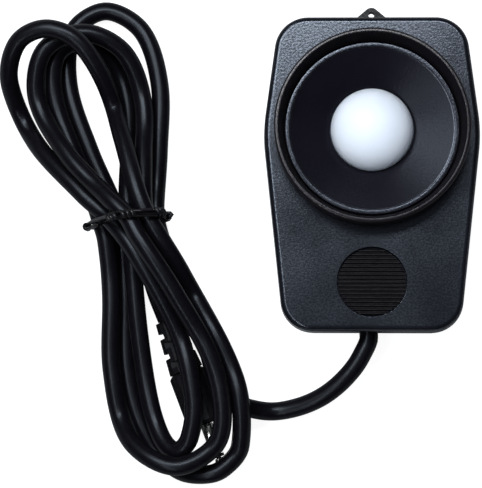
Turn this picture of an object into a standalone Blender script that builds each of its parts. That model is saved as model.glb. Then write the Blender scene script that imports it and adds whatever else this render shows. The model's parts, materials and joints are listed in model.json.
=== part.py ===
"""The sensor head of a lux meter with its tied cable, for Blender 4.5 in metres.

+Z is up out of the dome, +Y runs from the cable to the lanyard eye, and the back of the
head lies on z = 0.
"""

from math import acos, atan2, cos, hypot, pi, radians, sin, tan

import bmesh
import bpy
import numpy as np
from mathutils import Vector

mm = 0.001

# Seen sizes
joint_gap = 0.3 * mm
cut_overrun = 1.0 * mm
circle_sides = 48
small_sides = 16
plug_sides = 20
screw_sides = 12

# The case in plan
case_length = 88.0 * mm
shoulder_width = 60.7 * mm
shoulder_drop = 0.6 * mm
top_width = 52.0 * mm
bottom_width = 48.8 * mm
eye_reach = 4.0 * mm
top_corner_radius = 9.5 * mm
bottom_corner_radius = 9.0 * mm
shoulder_radius = 45.0 * mm
corner_steps = 4

# The case in height
parting_height = 14.5 * mm
front_depth = 6.0 * mm
wall = 2.0 * mm
face_edge_radius = 1.8 * mm
skirt_draft = radians(2.0)
rear_taper = radians(9.0)
rear_edge_radius = 1.5 * mm
lip_height = 2.0 * mm
lip_wall = 1.0 * mm

# The sensor stack
collar_top_margin = 4.9 * mm
collar_side_margin = 3.35 * mm
collar_height = 8.5 * mm
collar_rim = 1.15 * mm
collar_edge_radius = 0.3 * mm
spigot_step = 1.8 * mm
spigot_depth = 8.0 * mm
collar_wall = 3.2 * mm
dish_rim = 1.27 * mm
dish_rim_rise = 2.3 * mm
dish_floor_drop = 1.1 * mm
dish_wall = 1.4 * mm
dome_radius = 11.4 * mm
dome_drop = 0.7 * mm
dome_rise = 8.2 * mm
dome_wall = 1.2 * mm
dome_flange = 2.4 * mm
dome_steps = 6
seat_width = 1.6 * mm

# The parts behind the dome
gasket_thickness = 0.8 * mm
retainer_thickness = 1.6 * mm
board_margin = 2.2 * mm
board_drop = 6.3 * mm
board_thickness = 1.6 * mm
board_screw_inset = 4.0 * mm
holder_radius = 8.6 * mm
holder_bore = 6.0 * mm
holder_height = 5.6 * mm
filter_thickness = 1.2 * mm
can_radius = 4.1 * mm
can_height = 2.6 * mm
window_radius = 2.9 * mm
window_thickness = 0.5 * mm

# The thumb grip
grip_place_share = 0.471
grip_radius_share = 0.33
grip_flange = 1.2 * mm
grip_recess = 0.7 * mm
grip_ribs = 17
grip_ribbed_share = 0.956
grip_rib_depth = 0.45 * mm
rib_crest_share = 0.4

# Screws
case_screw_top_inset_x = 7.5 * mm
case_screw_bottom_inset_x = 8.4 * mm
case_screw_inset_y = 8.2 * mm
case_post_radius = 2.7 * mm
rear_post_radius = 3.3 * mm
case_screw_radius = 1.0 * mm
case_screw_head = 2.2 * mm
case_screw_tip_room = 1.1 * mm
head_thickness = 1.4 * mm
head_recess = 0.8 * mm
board_screw_radius = 0.8 * mm
board_screw_head = 1.6 * mm
board_screw_tip_share = 0.34
board_post_radius = 2.4 * mm
slot_width = 0.5 * mm
slot_depth = 0.6 * mm

# The lanyard eye
eye_base_width = 16.6 * mm
eye_tip_radius = 2.0 * mm
eye_hole_radius = 0.9 * mm
eye_drop = 5.9 * mm
eye_thickness = 3.4 * mm
eye_root = 2.4 * mm

# The cable
cable_radius = 2.6 * mm
exit_x = -0.8 * mm
exit_drop = 4.5 * mm
grommet_radius = 4.0 * mm
grommet_flange = 1.0 * mm
grommet_flange_thickness = 1.4 * mm
entry_length = 12.0 * mm
clamp_length = 5.0 * mm
clamp_width = 20.0 * mm
clamp_rise = 3.6 * mm
clamp_screw_spacing = 14.6 * mm
wire_radius = 0.5 * mm

# Places and sizes that follow from those above
case_top = case_length / 2 - eye_reach / 2
case_bottom = -case_length / 2 - eye_reach / 2
face_height = parting_height + front_depth
face_under = face_height - wall
collar_radius = shoulder_width / 2 - collar_side_margin
spigot_radius = collar_radius - spigot_step
dish_radius = collar_radius - collar_wall
seat_radius = dish_radius - seat_width
board_radius = seat_radius - board_margin
board_screw_ring = board_radius - board_screw_inset
dome_y = case_top - collar_radius - collar_top_margin
shoulder_y = dome_y - shoulder_drop
grip_room = dome_y - collar_radius - case_bottom
grip_y = case_bottom + grip_room * grip_place_share
grip_radius = grip_room * grip_radius_share
grip_rib_pitch = 2 * grip_radius * grip_ribbed_share / grip_ribs
case_screw_top_x = top_width / 2 - case_screw_top_inset_x
case_screw_top_y = case_top - case_screw_inset_y
case_screw_bottom_x = bottom_width / 2 - case_screw_bottom_inset_x
case_screw_bottom_y = case_bottom + case_screw_inset_y
case_screw_length = face_under - head_recess - head_thickness - case_screw_tip_room
eye_bottom = parting_height - eye_drop
board_top = parting_height - board_drop
board_screw_tip = wall + (board_top - wall) * board_screw_tip_share
board_screw_length = board_top + joint_gap - board_screw_tip
exit_height = parting_height - exit_drop
rim_height = face_height + collar_height
dish_rim_height = face_height + dish_rim_rise
dish_floor_height = face_height - dish_floor_drop
dome_base = face_height - dome_drop

# Routes inside the case
along_y = (-pi / 2, 0, 0)
grommet_inset = 1.1 * mm
grommet_face_y = case_bottom + grommet_inset
grommet_length = 3.0 * mm
grommet_hole_length = 7.0 * mm
clamp_y = -37.0 * mm
cradle_width = 8.0 * mm
cradle_top = exit_height - cable_radius - joint_gap
clamp_screw_length = 6.0 * mm
wire_pad_inset = 3.4 * mm
wire_end_y = dome_y - board_radius + wire_pad_inset
wire_bend = 2.2 * mm
wire_steps = 14
wire_cores = (
    ("wire_signal", -1.2 * mm, 0.7 * mm, -5.0 * mm),
    ("wire_return", 1.2 * mm, 0.7 * mm, 3.4 * mm),
    ("wire_screen", 0.0 * mm, -1.0 * mm, exit_x),
)

# The cable's free ends in plan: out of the case, then under the hank
lead_places = (
    (exit_x, grommet_face_y - 2 * joint_gap),
    (-0.8 * mm, -47.6 * mm),
    (-1.8 * mm, -50.0 * mm),
    (-4.3 * mm, -54.5 * mm),
    (-8.3 * mm, -59.1 * mm),
    (-12.7 * mm, -62.6 * mm),
    (-17.1 * mm, -64.9 * mm),
    (-21.8 * mm, -66.4 * mm),
    (-26.8 * mm, -67.2 * mm),
    (-31.3 * mm, -67.0 * mm),
    (-37.0 * mm, -65.5 * mm),
    (-41.2 * mm, -62.0 * mm),
    (-43.9 * mm, -56.2 * mm),
    (-46.0 * mm, -48.8 * mm),
    (-49.2 * mm, -40.1 * mm),
    (-53.6 * mm, -31.9 * mm),
    (-57.6 * mm, -23.4 * mm),
)
tail_places = ((-62.9 * mm, -20.5 * mm), (-62.0 * mm, -27.5 * mm), (-60.1 * mm, -34.5 * mm))
lead_fall = 36.0 * mm
lead_level = 5.0 * mm

# The hank: strands cross its waist side by side and lobes reach up and down from there
waist_x = -67.5 * mm
waist_y = -14.3 * mm
waist_slots = [each * mm for each in (7.0, -3.4, 5.5, -5.4, -0.1, -8.5, -0.1, 4.8)]
lobe_stations = 10
# Reach, half width, pinch, lean, bend, skew, starting side, direction, and the layer at
# each tenth of the way round: a strand lies on every lower layer that it crosses
lobes = (
    (61.4 * mm, 15.3 * mm, 0.87, radians(-13), 4.1 * mm, 0.0, 1, 1, "1111111222"),
    (70.8 * mm, 17.5 * mm, 0.8, radians(20), -6.8 * mm, 0.6, -1, -1, "2222266666"),
    (53.0 * mm, 14.5 * mm, 0.65, radians(-39), 19.2 * mm, 0.2, 1, 1, "6669999777"),
    (64.4 * mm, 10.6 * mm, 0.44, radians(23.5), -11.8 * mm, 0.3, 1, -1, "7777773333"),
    (51.5 * mm, 12.2 * mm, 1.05, radians(-13.8), 1.9 * mm, 0.1, 1, 1, "3333333444"),
    (68.7 * mm, 20.2 * mm, 0.96, radians(23.8), -12.4 * mm, -0.1, -1, -1, "4448888888"),
    (52.9 * mm, 19.0 * mm, 0.7, radians(-32.3), 17.7 * mm, 0.0, -1, 1, "8888855555"),
)
tail_layer = 5
lie_clearance = 0.05 * mm
lay_clearance = 0.75 * mm
lie_height = cable_radius + lie_clearance
lay_distance = 2 * cable_radius + lay_clearance
hump_radius = 18.0 * mm
hump_blur = 2.5 * mm
route_samples = 560
lay_rounds = 30
strand_share = 2.9
strand_length = 2 * cable_radius * strand_share
split_distance = 12.5 * mm
tail_length = 7.0 * mm
turn_step = radians(18)
length_step = 15.0 * mm

# The tie round the waist
tie_radius = 0.65 * mm
tie_tilt = radians(7.4)
tie_zone = 1.7 * mm
tie_clearance = 0.8 * mm
tie_lift = cable_radius + 2 * tie_radius + tie_clearance
tie_standoff = cable_radius + joint_gap + tie_radius
tie_twist_radius = 0.9 * mm
tie_turns = 3.5
tie_points = 26

# The plug
plug_x = -57.2 * mm
plug_y = -42.0 * mm
plug_heading = radians(21)
plug_height = 5.35 * mm
relief_length = 15.0 * mm
relief_small_radius = 3.5 * mm
relief_large_radius = 4.8 * mm
relief_slots = 4
relief_slot_pitch = 2.9 * mm
relief_slot_width = 1.7 * mm
relief_slot_depth = 1.5 * mm
plug_body_radius = 5.25 * mm
plug_body_length = 15.5 * mm
plug_edge = 0.8 * mm
jack_radius = 1.75 * mm
jack_sleeve_length = 8.6 * mm
jack_ring_length = 0.8 * mm
jack_tip_length = 4.0 * mm
jack_core_radius = 0.7 * mm
plug_clearance = 0.6 * mm

# Small shapes
dish_step = 0.4 * mm
dish_foot_drop = 0.1 * mm
dish_foot = dish_floor_height - dish_foot_drop
edge_share = 0.3
straight_clear_share = 0.5
rim_share = 0.8
tip_neck_share = 0.65
tip_swell_share = 0.55

# Colours
case_colour = (0.035, 0.038, 0.043)
rear_colour = (0.03, 0.032, 0.036)
collar_colour = (0.03, 0.03, 0.032)
dish_colour = (0.008, 0.008, 0.009)
dome_colour = (0.85, 0.88, 0.93)
rubber_colour = (0.012, 0.012, 0.013)
inner_colour = (0.02, 0.02, 0.022)
filter_colour = (0.25, 0.45, 0.3)
steel_colour = (0.6, 0.6, 0.6)
board_colour = (0.03, 0.16, 0.06)
jacket_colour = (0.012, 0.012, 0.014)
wire_colour = (0.35, 0.05, 0.04)


def clear_scene():
    for each in list(bpy.data.objects):
        bpy.data.objects.remove(each, do_unlink=True)


def make_material(name, colour, roughness, metallic=0.0):
    material = bpy.data.materials.new(name)
    material.use_nodes = True
    shader = material.node_tree.nodes["Principled BSDF"]
    shader.inputs["Base Color"].default_value = (*colour, 1.0)
    shader.inputs["Roughness"].default_value = roughness
    shader.inputs["Metallic"].default_value = metallic
    return material


def add_object(name, mesh, material=None):
    made = bpy.data.objects.new(name, mesh)
    bpy.context.scene.collection.objects.link(made)
    if material:
        mesh.materials.append(material)
    else:
        made.hide_render = True
        made.display_type = "WIRE"
    return made


def mesh_of(name, points, faces, smooth=False):
    mesh = bpy.data.meshes.new(name)
    mesh.from_pydata([tuple(each) for each in points], [], faces)
    shape = bmesh.new()
    shape.from_mesh(mesh)
    bmesh.ops.recalc_face_normals(shape, faces=shape.faces)
    shape.to_mesh(mesh)
    shape.free()
    if smooth:
        mesh.shade_smooth()
        mesh.set_sharp_from_angle(angle=radians(35))
    return mesh


def turned(name, profile, material=None, sides=circle_sides):
    """A solid turned round Z from a closed profile of (radius, height)."""
    points, rings, faces = [], [], []
    for radius, height in profile:
        if radius == 0:
            rings.append([len(points)] * sides)
            points.append((0, 0, height))
            continue
        rings.append(list(range(len(points), len(points) + sides)))
        for side in range(sides):
            angle = 2 * pi * side / sides
            points.append((radius * cos(angle), radius * sin(angle), height))
    for ring, after in zip(rings, rings[1:] + rings[:1]):
        for side in range(sides):
            other = (side + 1) % sides
            corners = [ring[side], ring[other], after[other], after[side]]
            face = list(dict.fromkeys(corners))
            if len(face) > 2:
                faces.append(face)
    return add_object(name, mesh_of(name, points, faces, smooth=True), material)


def lofted(name, sections, material=None):
    """A solid through sections of as many points each, capped at both ends."""
    count = len(sections[0])
    points = [point for section in sections for point in section]
    faces = [list(range(count)), list(range(len(points) - count, len(points)))]
    for level in range(len(sections) - 1):
        for index in range(count):
            other = (index + 1) % count
            low, high = level * count, (level + 1) * count
            faces.append([low + index, low + other, high + other, high + index])
    return add_object(name, mesh_of(name, points, faces, smooth=True), material)


def box(name, width, depth, height, material=None):
    """A block centred on X and Y that stands on its own origin."""
    half_w, half_d = width / 2, depth / 2
    plan = ((-half_w, -half_d), (half_w, -half_d), (half_w, half_d), (-half_w, half_d))
    sections = [[(x, y, level) for x, y in plan] for level in (0, height)]
    return lofted(name, sections, material)


def disc(name, radius, height, material=None, sides=small_sides):
    """A cylinder that stands on its own origin."""
    return turned(name, ((0, 0), (radius, 0), (radius, height), (0, height)), material, sides)


def place(piece, x=0.0, y=0.0, z=0.0, turn=(0.0, 0.0, 0.0)):
    piece.location = (x, y, z)
    piece.rotation_euler = turn
    return piece


def combine_all(piece, others, operation):
    """One exact Boolean with every piece of a group at once."""
    group = bpy.data.collections.new(operation.title() + " for " + piece.name)
    bpy.context.scene.collection.children.link(group)
    for other in others:
        group.objects.link(other)
    change = piece.modifiers.new(group.name, "BOOLEAN")
    change.operation = operation
    change.solver = "EXACT"
    change.operand_type = "COLLECTION"
    change.collection = group
    return piece


def cut(piece, *cutters):
    return combine_all(piece, cutters, "DIFFERENCE")


def join(piece, *others):
    return combine_all(piece, others, "UNION")


def case_corners(inset):
    """The plan's six corners, each side moved in by the inset."""
    half = [
        (top_width / 2, case_top),
        (shoulder_width / 2, shoulder_y),
        (bottom_width / 2, case_bottom),
    ]
    corners = [Vector(each) for each in half]
    corners += [Vector((-x, y)) for x, y in reversed(half)]
    moved = []
    for before, corner, after in zip(corners[-1:] + corners, corners, corners[1:] + corners):
        first, second = (corner - before).normalized(), (after - corner).normalized()
        inward = Vector((first.y, -first.x)) + Vector((second.y, -second.x))
        moved.append(corner + inward * inset / (1 + first.dot(second)))
    return moved


def corner_arc(before, corner, after, radius):
    """Points of the arc that rounds one corner, in order."""
    back, on = (before - corner).normalized(), (after - corner).normalized()
    half_angle = back.angle(on) / 2
    middle = (back + on).normalized()
    centre = corner + middle * radius / sin(half_angle)
    tangent = radius / tan(half_angle)
    start, end = corner + back * tangent - centre, corner + on * tangent - centre
    turn = start.angle(end)
    points = []
    for step in range(corner_steps + 1):
        share = step / corner_steps
        mix = start * sin((1 - share) * turn) + end * sin(share * turn)
        points.append(centre + mix / sin(turn))
    return points


def case_outline(inset, height):
    """The case's rounded plan at one height, drawn in by the inset."""
    corners = case_corners(inset)
    rounds = [top_corner_radius, shoulder_radius, bottom_corner_radius]
    rounds += rounds[::-1]
    outline = []
    for index, corner in enumerate(corners):
        before, after = corners[index - 1], corners[(index + 1) % len(corners)]
        outline += corner_arc(before, corner, after, rounds[index] - inset)
    return [(point.x, point.y, height) for point in outline]


def skirt_inset(height):
    return (height - parting_height) * tan(skirt_draft)


def rear_inset(height):
    return (parting_height - height) * tan(rear_taper)


def edge_steps(count=4):
    """Sine and one minus cosine of even steps through a quarter turn."""
    angles = [pi / 2 * step / count for step in range(count + 1)]
    return [(sin(angle), 1 - cos(angle)) for angle in angles]


def case_screw_spots():
    top, bottom = case_screw_top_x, case_screw_bottom_x
    spots = [(-top, case_screw_top_y), (top, case_screw_top_y)]
    return spots + [(-bottom, case_screw_bottom_y), (bottom, case_screw_bottom_y)]


def build_front_shell(plastic):
    start = face_height - face_edge_radius
    sections = [case_outline(0, parting_height)]
    for up, inward in edge_steps():
        inset = skirt_inset(start) + inward * face_edge_radius
        sections.append(case_outline(inset, start + up * face_edge_radius))
    shell = lofted("front_shell", sections, plastic)
    inside = [(wall, parting_height - cut_overrun), (wall, face_under)]
    cut(shell, lofted("cut_front_hollow", [case_outline(*each) for each in inside]))
    foot = parting_height + joint_gap
    depth = wall + 2 * cut_overrun
    posts, bores = [], []
    for number, (x, y) in enumerate(case_screw_spots(), 1):
        name = f"front_post_{number}"
        post = disc("join_" + name, case_post_radius, face_under + wall / 2 - foot)
        bore = case_screw_radius + joint_gap
        hole = disc("cut_" + name, bore, face_under - foot + cut_overrun, sides=screw_sides)
        posts.append(place(post, x, y, foot))
        bores.append(place(hole, x, y, foot - cut_overrun))
    mouth = disc("cut_collar_hole", spigot_radius + joint_gap, depth, sides=circle_sides)
    thumb = disc("cut_grip_hole", grip_radius + joint_gap, depth, sides=circle_sides)
    place(mouth, 0, dome_y, face_under - cut_overrun)
    place(thumb, 0, grip_y, face_under - cut_overrun)
    join(shell, *posts)
    return cut(shell, mouth, thumb, *bores)


def eye_outline(height):
    """Plan of the lanyard eye: a broad root inside the wall and a round tip."""
    centre_y = case_top + eye_reach - eye_tip_radius
    half, along = eye_base_width / 2, eye_root + eye_reach - eye_tip_radius
    start = acos(eye_tip_radius / hypot(half, along)) - atan2(along, half)
    points = [(half, centre_y - along, height)]
    for step in range(2 * corner_steps + 1):
        angle = start + (pi - 2 * start) * step / (2 * corner_steps)
        across, up = eye_tip_radius * cos(angle), eye_tip_radius * sin(angle)
        points.append((across, centre_y + up, height))
    return points + [(-half, centre_y - along, height)]


def board_screw_spots():
    angles = [pi / 2 + 2 * pi * index / 3 for index in range(3)]
    ring = board_screw_ring
    return [(ring * cos(angle), dome_y + ring * sin(angle)) for angle in angles]


def clamp_screw_spots():
    return [(exit_x + side * clamp_screw_spacing / 2, clamp_y) for side in (-1, 1)]


def posts_with_bores(name, spots, radius, top, bore):
    """Posts on the case's floor, and the blind holes for their screws."""
    posts, bores = [], []
    foot, base = wall / 2, wall + cut_overrun / 2
    for number, (x, y) in enumerate(spots, 1):
        post = disc(f"join_{name}_{number}", radius, top - foot)
        hole = disc(f"cut_{name}_{number}", bore, top - base + cut_overrun, sides=screw_sides)
        posts.append(place(post, x, y, foot))
        bores.append(place(hole, x, y, base))
    return posts, bores


def case_screw_hole(name, top):
    """Cutter for a case screw: a seat for its head from below, then its shaft."""
    shaft, sink = case_screw_radius + joint_gap, case_screw_head + joint_gap
    head_seat = head_recess + head_thickness + joint_gap
    stepped = (
        (0, -cut_overrun),
        (sink, -cut_overrun),
        (sink, head_seat),
        (shaft, head_seat),
        (shaft, top + cut_overrun),
        (0, top + cut_overrun),
    )
    return turned(name, stepped, sides=small_sides)


def rear_shell_blank(plastic):
    sections = []
    for out, up in edge_steps():
        inset = rear_inset(rear_edge_radius) + rear_edge_radius * (1 - out)
        sections.append((inset, rear_edge_radius * up))
    top, lip_top = parting_height - joint_gap, parting_height + lip_height
    lip_inset = wall + joint_gap
    sections += [(0, top), (lip_inset, top), (lip_inset, lip_top)]
    shell = lofted("rear_shell", [case_outline(*each) for each in sections], plastic)
    inside = [(rear_inset(wall) + wall, wall), (lip_inset + lip_wall, lip_top + cut_overrun)]
    return cut(shell, lofted("cut_rear_hollow", [case_outline(*each) for each in inside]))


def build_rear_shell(plastic):
    shell = rear_shell_blank(plastic)
    bore = board_screw_radius + joint_gap
    board_foot = board_top - board_thickness - joint_gap
    top = parting_height - joint_gap
    posts, bores = posts_with_bores(
        "board_post", board_screw_spots(), board_post_radius, board_foot, bore
    )
    others, holes = posts_with_bores(
        "clamp_post", clamp_screw_spots(), board_post_radius, exit_height, bore
    )
    cradle = box("join_cradle", cradle_width, clamp_length, cradle_top - wall / 2)
    eye_levels = (eye_bottom, eye_bottom + eye_thickness)
    eye = lofted("join_eye", [eye_outline(level) for level in eye_levels])
    posts += others + [place(cradle, exit_x, clamp_y, wall / 2), eye]
    bores += holes
    for number, (x, y) in enumerate(case_screw_spots(), 1):
        post = disc(f"join_rear_post_{number}", rear_post_radius, top - wall / 2)
        posts.append(place(post, x, y, wall / 2))
        bores.append(place(case_screw_hole(f"cut_rear_post_{number}", top), x, y))
    depth = eye_thickness + 2 * cut_overrun
    eye_hole = disc("cut_eye", eye_hole_radius, depth, sides=circle_sides)
    place(eye_hole, 0, case_top + eye_reach - eye_tip_radius, eye_bottom - cut_overrun)
    gland = disc("cut_grommet_hole", grommet_radius + joint_gap, grommet_hole_length)
    place(gland, exit_x, grommet_face_y - 2 * cut_overrun, exit_height, along_y)
    join(shell, *posts)
    return cut(shell, eye_hole, gland, *bores)


def build_collar(plastic):
    inner, edge = collar_radius - collar_rim, collar_edge_radius
    seat, foot = dish_radius + joint_gap, face_height - spigot_depth
    ledge = dish_foot - joint_gap
    profile = [
        (collar_radius, face_height + joint_gap),
        (collar_radius, rim_height - edge),
        (collar_radius - edge * edge_share, rim_height - edge * edge_share),
        (collar_radius - edge, rim_height),
        (inner + edge / 2, rim_height),
        (inner, rim_height - edge / 2),
        (seat, dish_rim_height - joint_gap),
        (seat, ledge),
        (seat_radius, ledge),
        (seat_radius, foot),
        (spigot_radius, foot),
        (spigot_radius, face_height + joint_gap),
    ]
    return place(turned("collar_ring", profile, plastic), 0, dome_y)


def build_dish(plastic):
    mouth = dish_radius - dish_rim
    hole = dome_radius + joint_gap
    under = dish_floor_height - dish_wall
    profile = [
        (dish_radius, dish_rim_height),
        (mouth, dish_rim_height),
        (mouth, dish_rim_height - dish_step),
        (hole + dish_step, dish_floor_height),
        (hole, dish_floor_height),
        (hole, under),
        (hole + dish_wall / 2, under),
        (mouth, dish_rim_height - dish_step - dish_wall),
        (mouth, dish_foot),
        (dish_radius, dish_foot),
    ]
    return place(turned("sensor_dish", profile, plastic), 0, dome_y)


def build_dome(opal):
    flange = dome_radius + dome_flange
    flange_top = dish_floor_height - dish_wall - joint_gap
    flange_foot = flange_top - dome_wall
    angles = [pi / 2 * step / dome_steps for step in range(dome_steps + 1)]
    outer = [(dome_radius * sin(a), dome_base + dome_rise * cos(a)) for a in angles]
    bore, inner_rise = dome_radius - dome_wall, dome_rise - dome_wall
    inner = [(bore * sin(a), dome_base + inner_rise * cos(a)) for a in reversed(angles)]
    foot = [
        (dome_radius, flange_top),
        (flange, flange_top),
        (flange, flange_foot),
        (bore, flange_foot),
    ]
    profile = outer + foot + inner
    return place(turned("diffuser_dome", profile, opal), 0, dome_y)


def ring(name, outer, inner, foot, height, material):
    profile = ((outer, foot), (outer, foot + height), (inner, foot + height), (inner, foot))
    return place(turned(name, profile, material), 0, dome_y)


def build_sensor_stack(rubber, plastic, glass, steel, laminate):
    dome_foot = dish_floor_height - dish_wall - joint_gap - dome_wall
    gasket_foot = dome_foot - joint_gap - gasket_thickness
    ring(
        "dome_gasket", dome_radius + dome_flange, dome_radius, gasket_foot,
        gasket_thickness, rubber,
    )
    ring(
        "dome_retainer", seat_radius - joint_gap, holder_radius + wall / 2,
        gasket_foot - joint_gap - retainer_thickness, retainer_thickness, plastic,
    )
    seat = board_top + joint_gap
    can_top = seat + can_height
    shelf = can_top + window_thickness + 2 * joint_gap
    bore = can_radius + joint_gap
    holder = (
        (holder_radius, seat),
        (holder_radius, seat + holder_height),
        (holder_bore, seat + holder_height),
        (holder_bore, shelf),
        (bore, shelf),
        (bore, seat),
    )
    place(turned("filter_holder", holder, plastic, sides=small_sides * 2), 0, dome_y)
    photopic = disc("photopic_filter", holder_bore - joint_gap, filter_thickness, glass)
    place(photopic, 0, dome_y, shelf + joint_gap)
    place(disc("photodiode_can", can_radius, can_height, steel), 0, dome_y, seat)
    window = disc("photodiode_window", window_radius, window_thickness, glass)
    place(window, 0, dome_y, can_top + joint_gap)
    board = disc("sensor_board", board_radius, board_thickness, laminate, sides=circle_sides)
    holes = []
    for number, (x, y) in enumerate(board_screw_spots(), 1):
        bore, depth = board_screw_radius + joint_gap, board_thickness + 2 * cut_overrun
        hole = disc(f"cut_board_{number}", bore, depth, sides=screw_sides)
        holes.append(place(hole, x, y, board_top - board_thickness - cut_overrun))
    cut(board, *holes)
    return place(board, 0, dome_y, board_top - board_thickness)


def screw(name, shaft, head, length, steel):
    """A slotted screw whose head stands on its own origin and whose shaft runs down."""
    profile = (
        (0, -length),
        (shaft / 2, -length),
        (shaft, -length + shaft),
        (shaft, 0),
        (head, 0),
        (head, head_thickness * rim_share),
        (head * rim_share, head_thickness),
        (0, head_thickness),
    )
    made = turned(name, profile, steel, sides=screw_sides)
    slot = box("cut_slot_" + name, slot_width, 2 * head + cut_overrun, slot_depth + cut_overrun)
    slot.parent = made
    slot.location = (0, 0, head_thickness - slot_depth)
    return cut(made, slot)


def build_screws(steel):
    for number, (x, y) in enumerate(case_screw_spots(), 1):
        made = screw(
            f"case_screw_{number}", case_screw_radius, case_screw_head, case_screw_length, steel
        )
        place(made, x, y, head_recess + head_thickness, (pi, 0, 0))
    for number, (x, y) in enumerate(board_screw_spots(), 1):
        made = screw(
            f"board_screw_{number}", board_screw_radius, board_screw_head, board_screw_length, steel
        )
        place(made, x, y, board_top + joint_gap)
    for number, (x, y) in enumerate(clamp_screw_spots(), 1):
        made = screw(
            f"clamp_screw_{number}", board_screw_radius, board_screw_head, clamp_screw_length, steel
        )
        place(made, x, y, exit_height + joint_gap + clamp_rise + joint_gap)


def build_grip(rubber):
    top = face_height - grip_recess
    flange_top = face_under - joint_gap
    foot = flange_top - grip_flange
    crest = grip_rib_pitch * rib_crest_share
    ramp = (grip_rib_pitch - 2 * crest) / 2
    start = -grip_ribs * grip_rib_pitch / 2
    ridge = [(start - grip_radius, foot), (start - grip_radius, top - grip_rib_depth)]
    for number in range(grip_ribs):
        along = start + number * grip_rib_pitch + ramp
        ridge += [
            (along, top - grip_rib_depth),
            (along + ramp, top),
            (along + ramp + crest, top),
        ]
        ridge.append((along + 2 * ramp + crest, top - grip_rib_depth))
    ridge += [(grip_radius - start, top - grip_rib_depth), (grip_radius - start, foot)]
    reach = grip_radius + cut_overrun
    sections = [[(x, y, z) for y, z in ridge] for x in (-reach, reach)]
    grip = lofted("thumb_grip", sections, rubber)
    trim = disc("trim_grip", grip_radius, face_height, sides=circle_sides)
    combine_all(grip, [trim], "INTERSECT")
    flange = disc("join_grip_flange", grip_radius + grip_flange, grip_flange, sides=circle_sides)
    join(grip, place(flange, z=foot))
    trim.parent = flange.parent = grip
    return place(grip, 0, grip_y)


def build_cable_fixings(rubber, plastic):
    face, inner = 0, grommet_length
    bore = cable_radius + joint_gap
    profile = (
        (grommet_radius, face),
        (grommet_radius, inner),
        (grommet_radius + grommet_flange, inner),
        (grommet_radius + grommet_flange, inner + grommet_flange_thickness),
        (bore, inner + grommet_flange_thickness),
        (bore, face),
    )
    grommet = turned("cable_grommet", profile, rubber, sides=small_sides)
    place(grommet, exit_x, grommet_face_y, exit_height, along_y)
    clamp = box("cable_clamp", clamp_width, clamp_length, clamp_rise, plastic)
    groove = disc("cut_clamp_groove", bore, 2 * clamp_length)
    cutters = [place(groove, exit_x, clamp_y - clamp_length, exit_height, along_y)]
    for number, (x, y) in enumerate(clamp_screw_spots(), 1):
        shaft, depth = board_screw_radius + joint_gap, clamp_rise + 2 * cut_overrun
        hole = disc(f"cut_clamp_{number}", shaft, depth, sides=screw_sides)
        cutters.append(place(hole, x, y, exit_height - cut_overrun))
    cut(clamp, *cutters)
    place(clamp, exit_x, clamp_y, exit_height + joint_gap)


def tube(name, route, radius, material, resolution=2):
    """A free tube through the route's points, with filled ends."""
    curve = bpy.data.curves.new(name, "CURVE")
    curve.dimensions = "3D"
    curve.bevel_depth = radius
    curve.bevel_resolution = resolution
    curve.use_fill_caps = True
    spline = curve.splines.new("POLY")
    spline.points.add(len(route) - 1)
    for point, place_of in zip(spline.points, route):
        point.co = (*place_of, 1)
    return add_object(name, curve, material)


def rounded_path(points, count):
    """Even points on a smooth curve through the hand-chosen points, and their spans."""
    places = [Vector(each) for each in points]
    lengths = [0.0]
    for before, after in zip(places, places[1:]):
        lengths.append(lengths[-1] + (after - before).length)
    tangents = []
    for index in range(len(places)):
        low, high = max(index - 1, 0), min(index + 1, len(places) - 1)
        tangents.append((places[high] - places[low]) / (lengths[high] - lengths[low]))
    path, spans = [], []
    for step in range(count):
        along = lengths[-1] * step / (count - 1)
        index = min(sum(each <= along for each in lengths), len(places) - 1) - 1
        span = lengths[index + 1] - lengths[index]
        t = (along - lengths[index]) / span
        a, b = places[index], places[index + 1]
        ta, tb = tangents[index] * span, tangents[index + 1] * span
        square, cube = t * t, t * t * t
        path.append(
            a * (2 * cube - 3 * square + 1)
            + ta * (cube - 2 * square + t)
            + b * (3 * square - 2 * cube)
            + tb * (cube - square)
        )
        spans.append(index)
    return path, spans


def lobe_places(lobe, start, end):
    """Plan of the cable at each tenth of one lobe, from its start in the waist."""
    reach, half_width, pinch, lean, bend, skew, side, up, _ = lobe
    places = [(waist_x + start, waist_y)]
    for station in range(1, lobe_stations):
        share = station / lobe_stations
        turn = 2 * pi * share
        turn += skew * sin(turn)
        out = (1 - cos(turn)) / 2
        blend = share * share * (3 - 2 * share)
        across = start + (end - start) * blend + side * half_width * sin(turn) * out**pinch
        across += tan(lean) * reach * out + bend * out * out
        places.append((waist_x + across, waist_y + up * reach * out))
    return places


def cable_plan():
    """The whole cable from above, as smooth even points with the layer of each."""
    places, layers = list(lead_places), [0] * len(lead_places)
    for lobe, start, end in zip(lobes, waist_slots, waist_slots[1:]):
        places += lobe_places(lobe, start, end)
        layers += [int(each) for each in lobe[-1]]
    along = plug_axis() * joint_gap
    last = (plug_x - along.x, plug_y - along.y)
    places += [(waist_x + waist_slots[-1], waist_y), *tail_places, last]
    layers += [tail_layer] * (len(places) - len(layers))
    path, index = rounded_path([(x, y, 0) for x, y in places], route_samples)
    return np.array(path), np.array(layers)[index]


def plug_axis():
    return Vector((sin(plug_heading), -cos(plug_heading), 0))


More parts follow.
